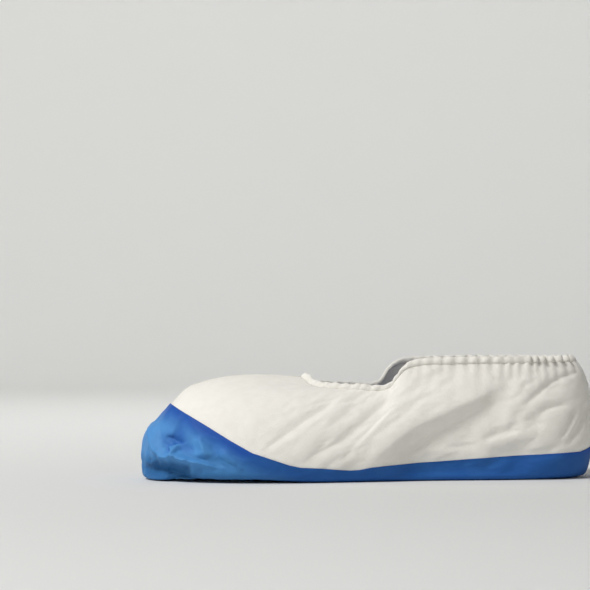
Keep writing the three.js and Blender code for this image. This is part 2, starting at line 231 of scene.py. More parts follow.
def fold_depth(points, normal, folds):
    """How far the folds of a table push each point of the surface inwards.

    With t as the distance from a fold's line over that flank's width, its depth falls off by
    (1 - t)^2 (1 + 2t) for a round fold, (1 - t)^2 for a sharp one and 1 - t for one with flat
    flanks. It fades at both ends, near the floor, and where the surface turns away from the side
    that the fold is drawn from.
    """
    depth = np.zeros(points.shape[:2])
    for azimuth, deep, above, below, crisp, line in folds:
        a = math.radians(azimuth)
        right = np.array([math.cos(a), math.sin(a), 0.0])
        toward = np.array([math.sin(a), -math.cos(a), 0.0])
        seen = np.stack([points @ right, points[:, :, 2]], axis=2)
        line = np.array(line, float)
        runs = np.diff(line, axis=0)
        lengths = np.linalg.norm(runs, axis=1)
        starts = np.cumsum(lengths) - lengths
        nearest = np.full(depth.shape, np.inf)
        place = np.zeros(depth.shape)
        over = np.zeros(depth.shape)
        for start, run, length, before in zip(line[:-1], runs, lengths, starts):
            off = seen - start
            share = np.clip(off @ run / length**2, 0.0, 1.0)
            miss = off - share[:, :, None] * run
            away = np.linalg.norm(miss, axis=2)
            closer = away < nearest
            nearest = np.where(closer, away, nearest)
            place = np.where(closer, before + share * length, place)
            side = run[0] * off[:, :, 1] - run[1] * off[:, :, 0]
            over = np.where(closer, side * math.copysign(1.0, run[0]), over)
        t = np.clip(nearest / np.where(over > 0, above, below), 0.0, 1.0)
        shape = (1 - t) ** 2 * (1 + 2 * t * max(0, 1 - crisp)) + (1 - t) * t * max(0, crisp - 1)
        along = place / lengths.sum()
        ends = smooth_step(0, END_FADE, along) * smooth_step(0, END_FADE, 1 - along)
        facing = smooth_step(*FACING, normal @ toward)
        depth += deep * shape * ends * facing
    return depth * smooth_step(0, FLOOR_FADE, points[:, :, 2])


# The loose film over the toe is creased into flat facets. Each line is a crease: its points are
# (across, up, depth in mm) as seen from that azimuth, and the film is flat between them. The first
# line is the outline of the creased part, and has no depth. At -45 about half of the points, here
# and in FILM_LINES, are as the film edge's script gave them or within 1.5 mm of that. The others are
# set one by one, and those at -135 are made up.
TOE_CREASES = {
    -45: (
        ((-98, 52, 0), (-67, 45, 0), (-38, 27, 0), (-20, 12, 0), (-14, 0, 0), (-60, -4, 0), (-113, -4, 0),
         (-113, 34, 0)),
        # the ridge beside the light facet, down to the top of the pocket
        ((-97, 41, 0), (-93, 31, -1.8), (-88, 25, -2.6), (-83, 20, -3.0), (-78, 16.5, -3.0),
         (-74, 15.5, -2.6)),
        # the hollow behind it, and the notch above that
        ((-84, 34, 0.8), (-81, 28, 1.6), (-76, 23.5, 2.4), (-73.5, 19.5, 2.2)),
        ((-77, 29.5, 1.4), (-73, 28, 3.2), (-69, 26.5, 3.6), (-64.5, 25, 2.2)),
        # the ridge that runs down from the notch and then to the right, and the hollow above it
        ((-67, 25.2, -0.8), (-68.5, 21, -2.6), (-69.5, 17, -3.6), (-63, 14.5, -3.4), (-56, 12.5, -2.6),
         (-49, 10.5, -1.6), (-41, 8, -0.3)),
        ((-64.3, 24.3, 1.8), (-65, 20.5, 1.5), (-61.5, 17.5, 1.0), (-55, 15.5, 0.5), (-49, 13.5, 0.2)),
        ((-60, 27, 1.2), (-57.5, 22, 1.8)),
        # the pocket below them, and its lower edge
        ((-101, 8, 0.8), (-93, 7, 4.2), (-85, 6.2, 6.2), (-78, 5, 7.4), (-71, 4, 7.2), (-65, 3, 6.2)),
        ((-100, 1, 0), (-86, 1, 0), (-78, 0.5, 0.8), (-72, 0, 5.5), (-65, 0, 6.0), (-58, 0, 2.0),
         (-50, 0, 0.4)),
        # the long facets under the film's edge
        ((-54, 31, -0.7), (-51, 26, -1.4), (-49, 20, -0.9)),
        ((-46, 24, 0.9), (-43, 18, 1.2), (-38, 13, 0.7)),
        ((-34, 15, -1.0), (-31, 9, -0.3)),
    ),
    -135: (
        ((98, 52, 0), (67, 45, 0), (38, 27, 0), (20, 12, 0), (14, 0, 0), (60, -4, 0), (113, -4, 0),
         (113, 34, 0)),
        ((96, 40, 0), (89, 32, -1.4), (83, 25, -1.8), (81, 17, -2.6), (88, 13, -1.6), (99, 13, -0.4)),
        ((52, 10, -1.6), (60, 14, -2.6), (70, 15, -3.0), (81, 17, -2.6)),
        ((62, 23, 1.9), (70, 28, 2.4), (77, 33, 0.6)),
        ((58, 2, 3.4), (68, 4, 6.0), (80, 6, 5.8), (92, 7, 2.6), (100, 8, 0.6)),
        ((44, 0, 0), (60, 0, 1.0), (76, 0, 0.6), (98, 1, 0)),
        ((40, 18, -0.9), (47, 22, 0.7), (55, 31, -0.9)),
    ),
}

# Sharp lines that the film keeps where it was creased hardest, in the same columns as FOLDS.
FILM_LINES = (
    (-45, -2.2, 2.6, 3.0, 1.6,
     ((-67, 27), (-68.5, 21), (-69.5, 17), (-63, 14.5), (-56, 12.5), (-48, 10.5), (-41, 8))),
    (-45, -1.7, 2.4, 3.2, 1.6, ((-96, 35), (-93, 31), (-88, 25), (-83, 20), (-79, 17))),
    (-45, 2.6, 4.0, 2.2, 1.6, ((-79, 30), (-74, 28.5), (-69, 26.5), (-64, 24))),
    (-45, -1.2, 2.4, 2.4, 1.6, ((-98, 12), (-90, 11), (-84, 13.5), (-78, 16.5), (-73, 15.5))),
    (-45, -1.0, 2.4, 3.0, 1.6, ((-75, 15), (-71, 9), (-65, 3))),
    (-45, -1.1, 3.0, 3.0, 1.5, ((-88, 36), (-86.5, 30), (-85, 22))),
    (-45, -1.2, 3.0, 4.0, 1.4, ((-55, 31), (-52, 26), (-49, 19), (-44, 15))),
    (-45, -1.1, 2.5, 3.0, 1.4, ((-41, 23), (-36, 17), (-32, 12), (-27, 5))),
    (-45, 0.9, 2.5, 3.0, 1.4, ((-46, 24), (-42, 18), (-40, 11), (-33, 6))),
    (-135, -1.1, 2.4, 2.4, 1.4, ((50, 9), (60, 14), (70, 15), (81, 17), (89, 13), (99, 13))),
    (-135, -0.8, 2.4, 2.4, 1.4, ((95, 38), (89, 32), (83, 25), (81, 18))),
    (-135, 1.2, 3.0, 2.0, 1.4, ((62, 23), (70, 28), (77, 33))),
    (-135, -0.6, 3.0, 3.0, 1.2, ((38, 16), (47, 22), (55, 31))),
)


def crease_depth(points, normal):
    """How far the creases of the loose film push each point of the surface inwards.

    The points of the creases are joined into triangles, with the creases themselves among the
    sides, and the depth runs straight from corner to corner over each triangle. It fades where
    the surface turns away from the side that the creases are drawn from.
    """
    depth = np.zeros(points.shape[:2])
    for azimuth, lines in TOE_CREASES.items():
        a = math.radians(azimuth)
        across = points @ np.array([math.cos(a), math.sin(a), 0.0])
        facing = smooth_step(*FACING, normal @ np.array([math.sin(a), -math.cos(a), 0.0]))
        charted = [tuple(corner) for line in lines for corner in line]
        ends = np.cumsum([len(line) for line in lines])
        sides = [(k, k + 1) for k in range(len(charted) - 1) if k + 1 not in ends]
        corners, _, faces, source, _, _ = delaunay_2d_cdt([c[:2] for c in charted], sides, [], 0, 1e-6)
        height = np.array([charted[ids[0]][2] if ids else 0.0 for ids in source])
        for one, two, three in faces:
            base, u, v = (np.array(corners[k]) for k in (one, two, three))
            u, v = u - base, v - base
            size = u[0] * v[1] - u[1] * v[0]
            off_across, off_up = across - base[0], points[:, :, 2] - base[1]
            to_two = (off_across * v[1] - off_up * v[0]) / size
            to_three = (u[0] * off_up - u[1] * off_across) / size
            within = (to_two >= 0) & (to_three >= 0) & (to_two + to_three < 1)
            rise_two, rise_three = height[two] - height[one], height[three] - height[one]
            depth += np.where(within, height[one] + to_two * rise_two + to_three * rise_three, 0.0) * facing
    return depth


# Each pair says where this starts and where it is full: in x, and in mm below the film's edge.
LOOSE = ((-60, -105), (1, 11))
PALE = ((-30, -106), (1, 16))


def toe_film(points):
    """1 where the film stands loose over the toe, below its edge, and 0 elsewhere."""
    x = points[..., 0]
    return smooth_step(*LOOSE[0], x) * smooth_step(*LOOSE[1], film_edge(x) - points[..., 2])


def pale_and_lit_film(points):
    """How pale the film is: partly because it stands off the cloth beneath, and partly a painted highlight
    where the toe's tip faces the light. Most at the tip.
    """
    x = points[..., 0]
    return smooth_step(*PALE[0], x) * smooth_step(*PALE[1], film_edge(x) - points[..., 2])


# Finer creases cross the film everywhere, with small facets between them.
#    direction in which the creases follow each other, spacing in mm, depth in mm, start
CRUMPLES = (
    ((0.62, -0.31, 0.72), 19.0, 0.50, 0.20),
    ((-0.48, 0.70, 0.53), 15.0, 0.42, 0.65),
    ((0.20, 0.35, -0.91), 23.0, 0.50, 0.35),
    ((0.85, 0.45, 0.28), 10.0, 0.25, 0.80),
)
BAND_CRUMPLE = 0.3  # how deep they are in the narrow band along the foot, against the toe


def crumple(points):
    """The facets of crumpled film: a sum of triangle waves, each along its own direction."""
    height = np.zeros(points.shape[:2])
    for direction, spacing, deep, start in CRUMPLES:
        wave = (points @ np.array(direction) / spacing + start) % 1.0
        height += deep * (2 * np.abs(wave - 0.5) - 1)
    under = film_edge(points[:, :, 0]) - points[:, :, 2]
    strength = np.maximum(toe_film(points), BAND_CRUMPLE * smooth_step(0.5, 4, under))
    return height * strength * smooth_step(0, 2 * FLOOR_FADE, points[:, :, 2])


def seam_lift(points, normal):
    """The crease that the toe seam pulls up: highest on the seam, gone within its width.

    It starts over the toes, and some way above the floor.
    """
    away = np.abs(points[:, :, 1]) / TOE_CREASE["width"]
    lift = TOE_CREASE["height"] * np.maximum(0, 1 - away) ** TOE_CREASE["sharpness"]
    x, z = points[:, :, 0], points[:, :, 2]
    forward = smooth_step(*TOE_CREASE["ahead"], x) * smooth_step(*TOE_CREASE["up"], z)
    return normal * (lift * forward)[:, :, None]


# The hem's elastic draws the cloth into pleats, which fan out and fade below it.
PLEAT_SPACING = (5.0, 9.0)  # mm along the rim, the least and the most
PLEAT_DEPTH = 0.9
PLEAT_REACH = 7.0  # mm below the rim, over which they fade to about a third
PLEATS_FROM = (20, 75)  # x from which they deepen, and where they are full
FAINT_PLEATS = 0.2  # how deep they are ahead of that


def pleats(turn, rim):
    """The pleats' height at each turn, from -1 to 1: waves of uneven length along the rim.

    Random spacings give the places of the crests, and the height is the cosine of the phase
    between them. Over the front of the opening, where the cloth lies tight on the instep, the
    pleats are faint.
    """
    random = np.random.default_rng(7)
    steps = np.linalg.norm(np.roll(rim, -1, axis=0) - rim, axis=1)
    along = np.r_[0, np.cumsum(steps)[:-1]]
    crests = np.cumsum(random.uniform(*PLEAT_SPACING, size=200))
    crests = crests[crests < steps.sum()]
    crests *= steps.sum() / crests[-1]
    phase = np.interp(along, np.r_[0, crests], np.arange(len(crests) + 1))
    wave = np.cos(2 * np.pi * phase)
    strength = FAINT_PLEATS + (1 - FAINT_PLEATS) * smooth_step(*PLEATS_FROM, rim[:, 0])
    return wave * strength * (0.75 + 0.25 * np.sin(5 * np.pi * turn))


def toe_flat(points):
    """The flat that the toes stretch the cover to, from their tips down to the film's front.

    What stands past that plane is brought back on to it, with a soft turn at its edges.
    """
    toward = np.array(TOE_FLAT["toward"])
    past = points @ toward - TOE_FLAT["off"]
    back = 0.5 * (past + np.sqrt(past**2 + TOE_FLAT["blend"] ** 2))
    return points - back[:, :, None] * toward


def toe_spring(points):
    """How far the underside stands off the floor: most beside the toes, and less higher up."""
    x, z = points[..., 0], points[..., 2]
    height = TOE_SPRING["height"] * smooth_step(*TOE_SPRING["ahead"], x)
    return height * smooth_step(*TOE_SPRING["tip"], x) * smooth_step(TOE_SPRING["gone"], 0, z)


def folded_form(turn, share):
    """The form with its folds, its toe crease and its pleats."""
    plain = plain_form(turn, share)
    normal = outward(plain)
    off_seam = smooth_step(*SEAM_FADE, np.abs(plain[:, :, 1]))
    from_rim = np.linalg.norm(plain - plain[:, -1:], axis=2)
    lift = -fold_depth(plain, normal, FOLDS) * smooth_step(*RIM_FADE, from_rim) * off_seam
    points = plain + normal * lift[:, :, None]
    points += seam_lift(plain, normal)
    pleat = pleats(turn, plain[:, -1])[:, None] * np.exp(-from_rim / PLEAT_REACH)
    points += normal * (PLEAT_DEPTH * pleat)[:, :, None]
    points[:, :, 2] += toe_spring(points)
    points[:, :, 1] += TOE_SWING * (np.minimum(0, points[:, :, 0]) / HALF_LENGTH) ** 2
    return toe_flat(points + TO_MIDDLE)


# ---------------------------------------------------------------------------------------------
# The cloth: longer than the form, so that it settles into wrinkles of its own
# ---------------------------------------------------------------------------------------------

# Each level is finer: columns, rows, sweeps, and the height in mm of the first unevenness.
LEVELS = ((128, 24, 160, 0.5), (256, 48, 120, 0.10), (512, 96, 90, 0.02))
TOE_CLOSER = 0.3  # how much closer than the mean the columns lie at the toe
STIFF = 0.9  # how much of a stretched or squeezed thread's error one sweep takes out
STIFF_FOLD = 0.14  # the same for the resistance to folding
FILM_LIMP = 0.7  # how much less than the nonwoven the loose film resists it
SLIDE = 0.85  # how much of its sliding along the form the cloth keeps from sweep to sweep
BEHIND_TOES = (-75, -20)  # x over which the tight toe box ends
WAIST_END = (80, 20)  # x where the waist of the foot ends, and where it is full
HEEL_FROM = (60, 120)  # x where the heel starts, and where it is full
# How much longer the cloth is, as a share, in all directions and along the slant on top of that.
SLACK = {"all": 0.001, "toe_film": 0.008, "heel": 0.010, "waist_slant": 0.009, "heel_slant": 0.010}
SLANT = (0.6, 0.0, -0.8)
# How far out of the form and into it the cloth may lie, in mm, and how much more behind the toes.
ROOM_OUT, ROOM_IN, ROOM_TOE_FILM, ROOM_BEHIND = 0.4, 0.5, 0.3, 1.2
# The share of that room left right at a place, and how far from it, in mm, the rest comes back.
LEFT_AT_EDGE, FREE_FROM_EDGE = 0.25, (0.5, 7.0)
LEFT_AT_RIM, FREE_FROM_RIM = 0.15, (0.0, 9.0)
LEFT_AT_SEAM, FREE_FROM_SEAM = 0.2, (0.5, 9.0)
FREE_FROM_FLOOR = (0.0, 5.0)


def links(columns, rows, round_step, up_step):
    """Pairs of grid points that far apart, in two sets in which no point comes up twice.

    The columns close on themselves, so their number divides by four.
    """
    i, j = np.meshgrid(np.arange(columns), np.arange(rows), indexing="ij")
    inside = (j + up_step >= 0) & (j + up_step < rows)
    turn = (i // round_step if round_step else j // up_step) % 2
    first = i * rows + j
    second = ((i + round_step) % columns) * rows + j + up_step
    return [(first[inside & (turn == k)], second[inside & (turn == k)]) for k in (0, 1)]


def slack(points, normal):
    """How much longer than the form the cloth is: all ways, and along one way more.

    Returns the share in all directions, the further share in one, and that direction. The film
    is crumpled over the toe, the walls have cloth to spare across their slanting folds, and the
    toe box is tight.
    """
    x = points[:, :, 0]
    waist = smooth_step(*BEHIND_TOES, x) * smooth_step(*WAIST_END, x)
    heel = smooth_step(*HEEL_FROM, x)
    every_way = SLACK["all"] + SLACK["toe_film"] * toe_film(points) + SLACK["heel"] * heel
    one_way = SLACK["waist_slant"] * waist + SLACK["heel_slant"] * heel
    slant = np.array(SLANT)
    along = slant - normal * (normal @ slant)[:, :, None]
    along /= np.linalg.norm(along, axis=2, keepdims=True)
    return every_way, one_way, along


def room(points):
    """How far in and out of the form the cloth may lie at each point, in mm."""
    x, z = points[:, :, 0], points[:, :, 2]
    behind = ROOM_BEHIND * smooth_step(*BEHIND_TOES, x)
    out = ROOM_OUT + behind
    inside = ROOM_IN + ROOM_TOE_FILM * toe_film(points) + behind
    off_edge = np.abs(z - film_edge(x))
    off_rim = np.linalg.norm(points - points[:, -1:], axis=2)
    off_seam = np.abs(points[:, :, 1] - TO_MIDDLE[1])
    by_edge = LEFT_AT_EDGE + (1 - LEFT_AT_EDGE) * smooth_step(*FREE_FROM_EDGE, off_edge)
    by_floor = smooth_step(*FREE_FROM_FLOOR, z)
    by_rim = LEFT_AT_RIM + (1 - LEFT_AT_RIM) * smooth_step(*FREE_FROM_RIM, off_rim)
    by_seam = LEFT_AT_SEAM + (1 - LEFT_AT_SEAM) * smooth_step(*FREE_FROM_SEAM, off_seam)
    free = by_edge * by_floor * by_rim * by_seam
    return -inside * free, out * free


def settle(form, shift, sweeps):
    """Cloth of more length than the form, settled on it: the shift of each point from the form.

    The cloth is a net of threads between neighbours, along the grid and across it. Every sweep
    moves the two ends of each thread until it has its own length again, and then puts back what
    has left the room round the form. Longer threads, up to the same length in mm at every level,
    only push: they resist folding.
    """
    columns, rows = form.shape[:2]
    normal = outward(form)
    every_way, one_way, along = (field.reshape(columns * rows, -1) for field in slack(form, normal))
    low, high = (field.reshape(-1) for field in room(form))
    flat = form.reshape(-1, 3)
    limp = toe_film(form).reshape(-1)
    steps = [(1, 0, False), (0, 1, False), (1, 1, False), (1, -1, False)]
    span = 2
    while span <= columns // 64:
        steps += [(span, 0, True), (0, span, True)]
        span *= 2
    threads = []
    for round_step, up_step, folding in steps:
        for first, second in links(columns, rows, round_step, up_step):
            across = flat[second] - flat[first]
            length = np.linalg.norm(across, axis=1)
            lined_up = (np.einsum("ij,ij->i", across, along[first]) / np.maximum(length, 1e-6)) ** 2
            spare = 1 + every_way[first, 0] + one_way[first, 0] * lined_up
            force = STIFF_FOLD * (1 - FILM_LIMP * limp[first]) if folding else STIFF
            threads.append((first, second, length * spare, force, folding))
    cloth = flat + shift.reshape(-1, 3)
    normal = normal.reshape(-1, 3)
    for _ in range(sweeps):
        for first, second, length, force, folding in threads:
            gap = cloth[second] - cloth[first]
            now = np.sqrt(np.einsum("ij,ij->i", gap, gap)) + 1e-9
            wrong = 1 - length / now
            pull = force * (np.minimum(wrong, 0) if folding else wrong)
            step = (0.5 * pull)[:, None] * gap
            cloth[first] += step
            cloth[second] -= step
        moved = cloth - flat
        lift = np.einsum("ij,ij->i", moved, normal)
        slid = moved - lift[:, None] * normal
        lift = np.clip(lift, low, high)
        cloth = flat + lift[:, None] * normal + SLIDE * slid
        np.maximum(cloth[:, 2], 0.0, out=cloth[:, 2])
    return (cloth - flat).reshape(columns, rows, 3)


def finer(field, columns, rows):
    """A grid of values on another grid, between its neighbours in a straight line both ways."""
    i = np.arange(columns) * field.shape[0] / columns
    j = np.arange(rows) * (field.shape[1] - 1) / (rows - 1)
    left, low = np.floor(i).astype(int), np.minimum(np.floor(j).astype(int), field.shape[1] - 2)
    across, up = (i - left)[:, None, None], (j - low)[None, :, None]
    right = (left + 1) % field.shape[0]
    lower = field[left][:, low] * (1 - across) + field[right][:, low] * across
    upper = field[left][:, low + 1] * (1 - across) + field[right][:, low + 1] * across
    return lower * (1 - up) + upper * up


def settled_cover():
    """The whole cover as cloth: its turns, and its grid of points.

    The columns lie closer to each other at the toe, where the film's creases are, than at the heel.
    """
    random = np.random.default_rng(23)
    shift = np.zeros((4, 2, 3))
    for columns, rows, sweeps, uneven in LEVELS:
        even = np.arange(columns) * 2 / columns
        turn = even - TOE_CLOSER * np.sin(np.pi * even) / np.pi
        form = folded_form(turn, np.linspace(0, 1, rows))
        bumps = random.normal(0, uneven, (columns, rows, 1)) * outward(form)
        shift = settle(form, finer(shift, columns, rows) + bumps, sweeps)
    return turn, form + shift


def between(rows_of, share):
    """Values between the rows of a grid, by the smooth cubic through the four nearest rows."""
    count = rows_of.shape[1]
    place = np.clip(share, 0, 1) * (count - 1)
    low = np.clip(np.floor(place).astype(int), 0, count - 2)
    t = (place - low)[:, :, None]
    four = [
        np.take_along_axis(rows_of, np.clip(low + k, 0, count - 1)[:, :, None], axis=1)
        for k in (-1, 0, 1, 2)
    ]
    slope_low, slope_high = (four[2] - four[0]) / 2, (four[3] - four[1]) / 2
    return (
        (2 * t**3 - 3 * t**2 + 1) * four[1]
        + (t**3 - 2 * t**2 + t) * slope_low
        + (3 * t**2 - 2 * t**3) * four[2]
        + (t**3 - t**2) * slope_high
    )


TURN, COVER = settled_cover()
NORMAL = outward(COVER)
COLUMNS = len(TURN)
HEEL = COLUMNS // 2


def levelled(directions, steep):
    """Directions with only so much of their rise or fall left, from 0 for level to 1 for all."""
    level = directions.copy()
    level[..., 2] *= steep
    return level / np.linalg.norm(level, axis=-1, keepdims=True)


def film_share(lift=0.0):
    """Where on each column the film ends, moved up by lift: the first place as high as its edge."""
    over = COVER[:, :, 2] - film_edge(COVER[:, :, 0]) - lift
    row = np.argmax(over > 0, axis=1)
    column = np.arange(COLUMNS)
    before, after = over[column, row - 1], over[column, row]
    return (row - 1 + before / (before - after)) / (COVER.shape[1] - 1)


# ---------------------------------------------------------------------------------------------
# Meshes
# ---------------------------------------------------------------------------------------------


def grid_corners(columns, rows, closed):
    """The four grid points, as column and row, round each face of a grid, outside facing out."""
    last = columns if closed else columns - 1
    i, j = np.meshgrid(np.arange(last), np.arange(rows - 1), indexing="ij")
    column = np.stack([i, i + 1, i + 1, i], axis=-1).reshape(-1, 4)
    row = np.stack([j, j, j + 1, j + 1], axis=-1).reshape(-1, 4)
    return column, row


def cloth_map(points, closed):
    """Where each point lies on the flat cloth, in metres: lengths along the rows and the columns."""
    ring = np.concatenate([points, points[:1]]) if closed else points
    along = np.linalg.norm(np.diff(ring, axis=0), axis=2)
    along = np.vstack([np.zeros((1, ring.shape[1])), np.cumsum(along, axis=0)])
    along -= along[len(along) // 2]
    up = np.linalg.norm(np.diff(ring, axis=1), axis=2)
    up = np.hstack([np.zeros((len(ring), 1)), np.cumsum(up, axis=1)])
    return np.stack([along, up], axis=2) * MM


def make_piece(name, points, material, shape="sheet", thickness=None, fields=None):
    """A mesh from a grid of points in mm, with the cloth's own lengths as its UV map.

    Every shape but a sheet runs round: its columns meet at the ends. A boat's first row also meets
    itself, as the middle line of a sole does, and each pair of points there is one. A ring's rows
    meet too: the last one is the first again. A bar has a face across its first and last row.
    Fields are further values on the grid, which become attributes.
    """
    columns, rows = points.shape[:2]
    closed = shape != "sheet"
    column, row = grid_corners(columns, rows, closed)
    lengths = cloth_map(points, closed)
    flat = lengths[column, row].reshape(-1, 2)
    column = column % columns
    if shape == "boat":
        column = np.where(row == 0, np.minimum(column, columns - column), column)
    if shape == "ring":
        row = row % (rows - 1)
    used, corner = np.unique(column * rows + row, return_inverse=True)
    faces = corner.reshape(-1, 4).tolist()
    if shape == "bar":
        around = np.arange(columns)
        for ends, at in ((around[::-1], 0), (around, rows - 1)):
            faces.append((ends * rows + at).tolist())
            flat = np.concatenate([flat, lengths[ends, at]])
    mesh = bpy.data.meshes.new(name)
    mesh.from_pydata((points.reshape(-1, 3)[used] * MM).tolist(), [], faces)
    layer = mesh.uv_layers.new(name="cloth")
    layer.data.foreach_set("uv", flat.reshape(-1))
    for field, values in (fields or {}).items():
        attribute = mesh.attributes.new(field, "FLOAT", "POINT")
        attribute.data.foreach_set("value", values.reshape(-1)[used].astype(np.float32))
    mesh.polygons.foreach_set("use_smooth", np.ones(len(faces), bool))
    mesh.materials.append(material)
    piece = bpy.data.objects.new(name, mesh)
    bpy.context.scene.collection.objects.link(piece)
    if thickness:
        wall = piece.modifiers.new("thickness", "SOLIDIFY")
        wall.thickness = thickness * MM
        wall.offset = -1
        wall.use_even_offset = False
    return piece


# ---------------------------------------------------------------------------------------------
# Materials
# ---------------------------------------------------------------------------------------------


def colour(code):
    """An sRGB hex colour as the linear colour that a shader takes."""
    values = [int(code[k : k + 2], 16) / 255 for k in (1, 3, 5)]
    return (*(v / 12.92 if v <= 0.04045 else ((v + 0.055) / 1.055) ** 2.4 for v in values), 1.0)


def add(tree, kind, settings=None, inputs=None):
    """Adds a node, sets its settings, and sets or links each of its inputs."""
    new = tree.nodes.new(kind)
    for name, value in (settings or {}).items():
        setattr(new, name, value)
    for name, value in (inputs or {}).items():
        if isinstance(value, bpy.types.NodeSocket):
            tree.links.new(value, new.inputs[name])
        else:
            new.inputs[name].default_value = value
    return new


def surface(name):
    """A new material's node tree, and its one shader."""
    material = bpy.data.materials.new(name)
    material.use_nodes = True
    tree = material.node_tree
    tree.nodes.clear()
    shader = add(tree, "ShaderNodeBsdfPrincipled")
    add(tree, "ShaderNodeOutputMaterial", inputs={"Surface": shader.outputs[0]})
    return material, tree, shader


BOND_PITCH = 1.9  # mm between bond points; the real ones are half that, too fine to show
FIBRE_CLOUD = 7.0  # mm across the thin and thick places of the web
FIBRE = 0.35  # mm, a tangle of fibres as coarse as it has to be to show


def spunbond_nonwoven(name, white, shade, bond_depth):
    """Spunbond polypropylene: endless filaments laid as a web and pressed at bond points.

    Matt, with cloudy thin and thick places and a fine grid of pressed dots. The real one lets a
    little light through, and this one none.
    """
    material, tree, shader = surface(name)
    place = add(tree, "ShaderNodeTexCoord").outputs["Object"]
    flat = add(tree, "ShaderNodeUVMap", {"uv_map": "cloth"}).outputs["UV"]
    cloud = add(tree, "ShaderNodeTexNoise", inputs={
        "Vector": place, "Scale": 1 / (FIBRE_CLOUD * MM), "Detail": 4.0, "Roughness": 0.6})
    tint = add(tree, "ShaderNodeMix", {"data_type": "RGBA"}, {
        0: cloud.outputs[0], 6: colour(shade), 7: colour(white)})
    tree.links.new(tint.outputs[2], shader.inputs["Base Color"])
    slanted = add(tree, "ShaderNodeMapping", inputs={
        "Vector": flat, "Rotation": (0.0, 0.0, math.radians(45))})
    dots = add(tree, "ShaderNodeTexVoronoi", {"voronoi_dimensions": "2D"}, {
        "Vector": slanted.outputs[0], "Scale": 1 / (BOND_PITCH * MM), "Randomness": 0.0})
    pressed = add(tree, "ShaderNodeMapRange", {"interpolation_type": "SMOOTHSTEP"}, {
        "Value": dots.outputs["Distance"], "From Min": 0.12, "From Max": 0.34})
    fibres = add(tree, "ShaderNodeTexNoise", inputs={
        "Vector": place, "Scale": 1 / (FIBRE * MM), "Detail": 3.0, "Roughness": 0.7})
    tangle = add(tree, "ShaderNodeBump", inputs={
        "Height": fibres.outputs[0], "Strength": 0.25, "Distance": 0.10 * MM})
    relief = add(tree, "ShaderNodeBump", inputs={
        "Height": pressed.outputs[0], "Strength": 0.5, "Distance": bond_depth * MM,
        "Normal": tangle.outputs[0]})
    tree.links.new(relief.outputs[0], shader.inputs["Normal"])
    shader.inputs["Roughness"].default_value = 0.78
    shader.inputs["IOR"].default_value = 1.49
    shader.inputs["Sheen Weight"].default_value = 0.15
    shader.inputs["Sheen Roughness"].default_value = 0.5
    return material


FILM_GRAIN = 0.9  # mm, the emboss of the film's roller, drawn about twice as coarse as it is
FILM_STREAK = 26.0  # mm across the places where the film is thinner


def cast_polyethylene_film(name, deep, light, painted_shade_colour):
    """Polyethylene film, cast on an embossed roller: blue, nearly matt and thin.

    It is deep blue where it lies on something, and lighter where it stands off it over the toe,
    with a painted highlight at the toe's tip, which faces the light. It is darkened by painted shade
    in the pocket low on the toe and where it turns under the toes. A fine grain softens its shine.
    """
    material, tree, shader = surface(name)
    place = add(tree, "ShaderNodeTexCoord").outputs["Object"]
    # Paler where the film stands off the cloth, with a painted highlight at the toe's tip, which faces the
    # light.
    loose = add(tree, "ShaderNodeAttribute", {"attribute_name": "loose"}).outputs["Fac"]
    streak = add(tree, "ShaderNodeTexNoise", inputs={
        "Vector": place, "Scale": 1 / (FILM_STREAK * MM), "Detail": 3.0, "Roughness": 0.55})
    uneven = add(tree, "ShaderNodeMapRange", inputs={
        "Value": streak.outputs[0], "From Min": 0.3, "From Max": 0.7,
        "To Min": -0.16, "To Max": 0.16})
    amount = add(tree, "ShaderNodeMath", {"operation": "ADD", "use_clamp": True}, {
        0: loose, 1: uneven.outputs[0]})
    single = add(tree, "ShaderNodeMix", {"data_type": "RGBA"}, {
        0: amount.outputs[0], 6: colour(deep), 7: colour(light)})
    # Painted shade from the film's second attribute: darker in the pocket low on the toe and under the
    # toes.
    painted_shade = add(tree, "ShaderNodeAttribute", {"attribute_name": "painted_shade"}).outputs["Fac"]
    tint = add(tree, "ShaderNodeMix", {"data_type": "RGBA"}, {
        0: painted_shade, 6: single.outputs[2], 7: colour(painted_shade_colour)})
    tree.links.new(tint.outputs[2], shader.inputs["Base Color"])
    grain = add(tree, "ShaderNodeTexNoise", inputs={
        "Vector": place, "Scale": 1 / (FILM_GRAIN * MM), "Detail": 2.0})
    relief = add(tree, "ShaderNodeBump", inputs={
        "Height": grain.outputs[0], "Strength": 0.25, "Distance": 0.08 * MM})
    tree.links.new(relief.outputs[0], shader.inputs["Normal"])
    shader.inputs["Roughness"].default_value = 0.6
    shader.inputs["IOR"].default_value = 1.5
    shader.inputs["Specular IOR Level"].default_value = 0.2
    return material


NONWOVEN = spunbond_nonwoven("spunbond_nonwoven", "#F2EFE8", "#E6E2DA", 0.10)
HEM_CLOTH = spunbond_nonwoven("folded_nonwoven", "#EFECE5", "#E1DDD4", 0.08)
WELD_CLOTH = spunbond_nonwoven("welded_nonwoven", "#E9E6DF", "#DAD6CD", 0.05)
# The film's deep blue, a paler blue that also holds a painted highlight, and the colour of painted shade.
FILM = cast_polyethylene_film("cast_film", "#1C50A3", "#4F8DC9", "#286094")


# ---------------------------------------------------------------------------------------------
# The pieces
# ---------------------------------------------------------------------------------------------

FILM_PROUD = 0.4  # the film lies over the nonwoven
FILM_THICK = 0.2
MIDDLE_LINE = 0.82  # how much of the sole's length its middle line takes
SHADE_UNDER_TOES = 0.65  # how much painted shade darkens the film low down under the toes, against that in the pocket
HOLLOW_SHADE = 0.6  # how much of its paleness it loses in a hollow, as painted shade
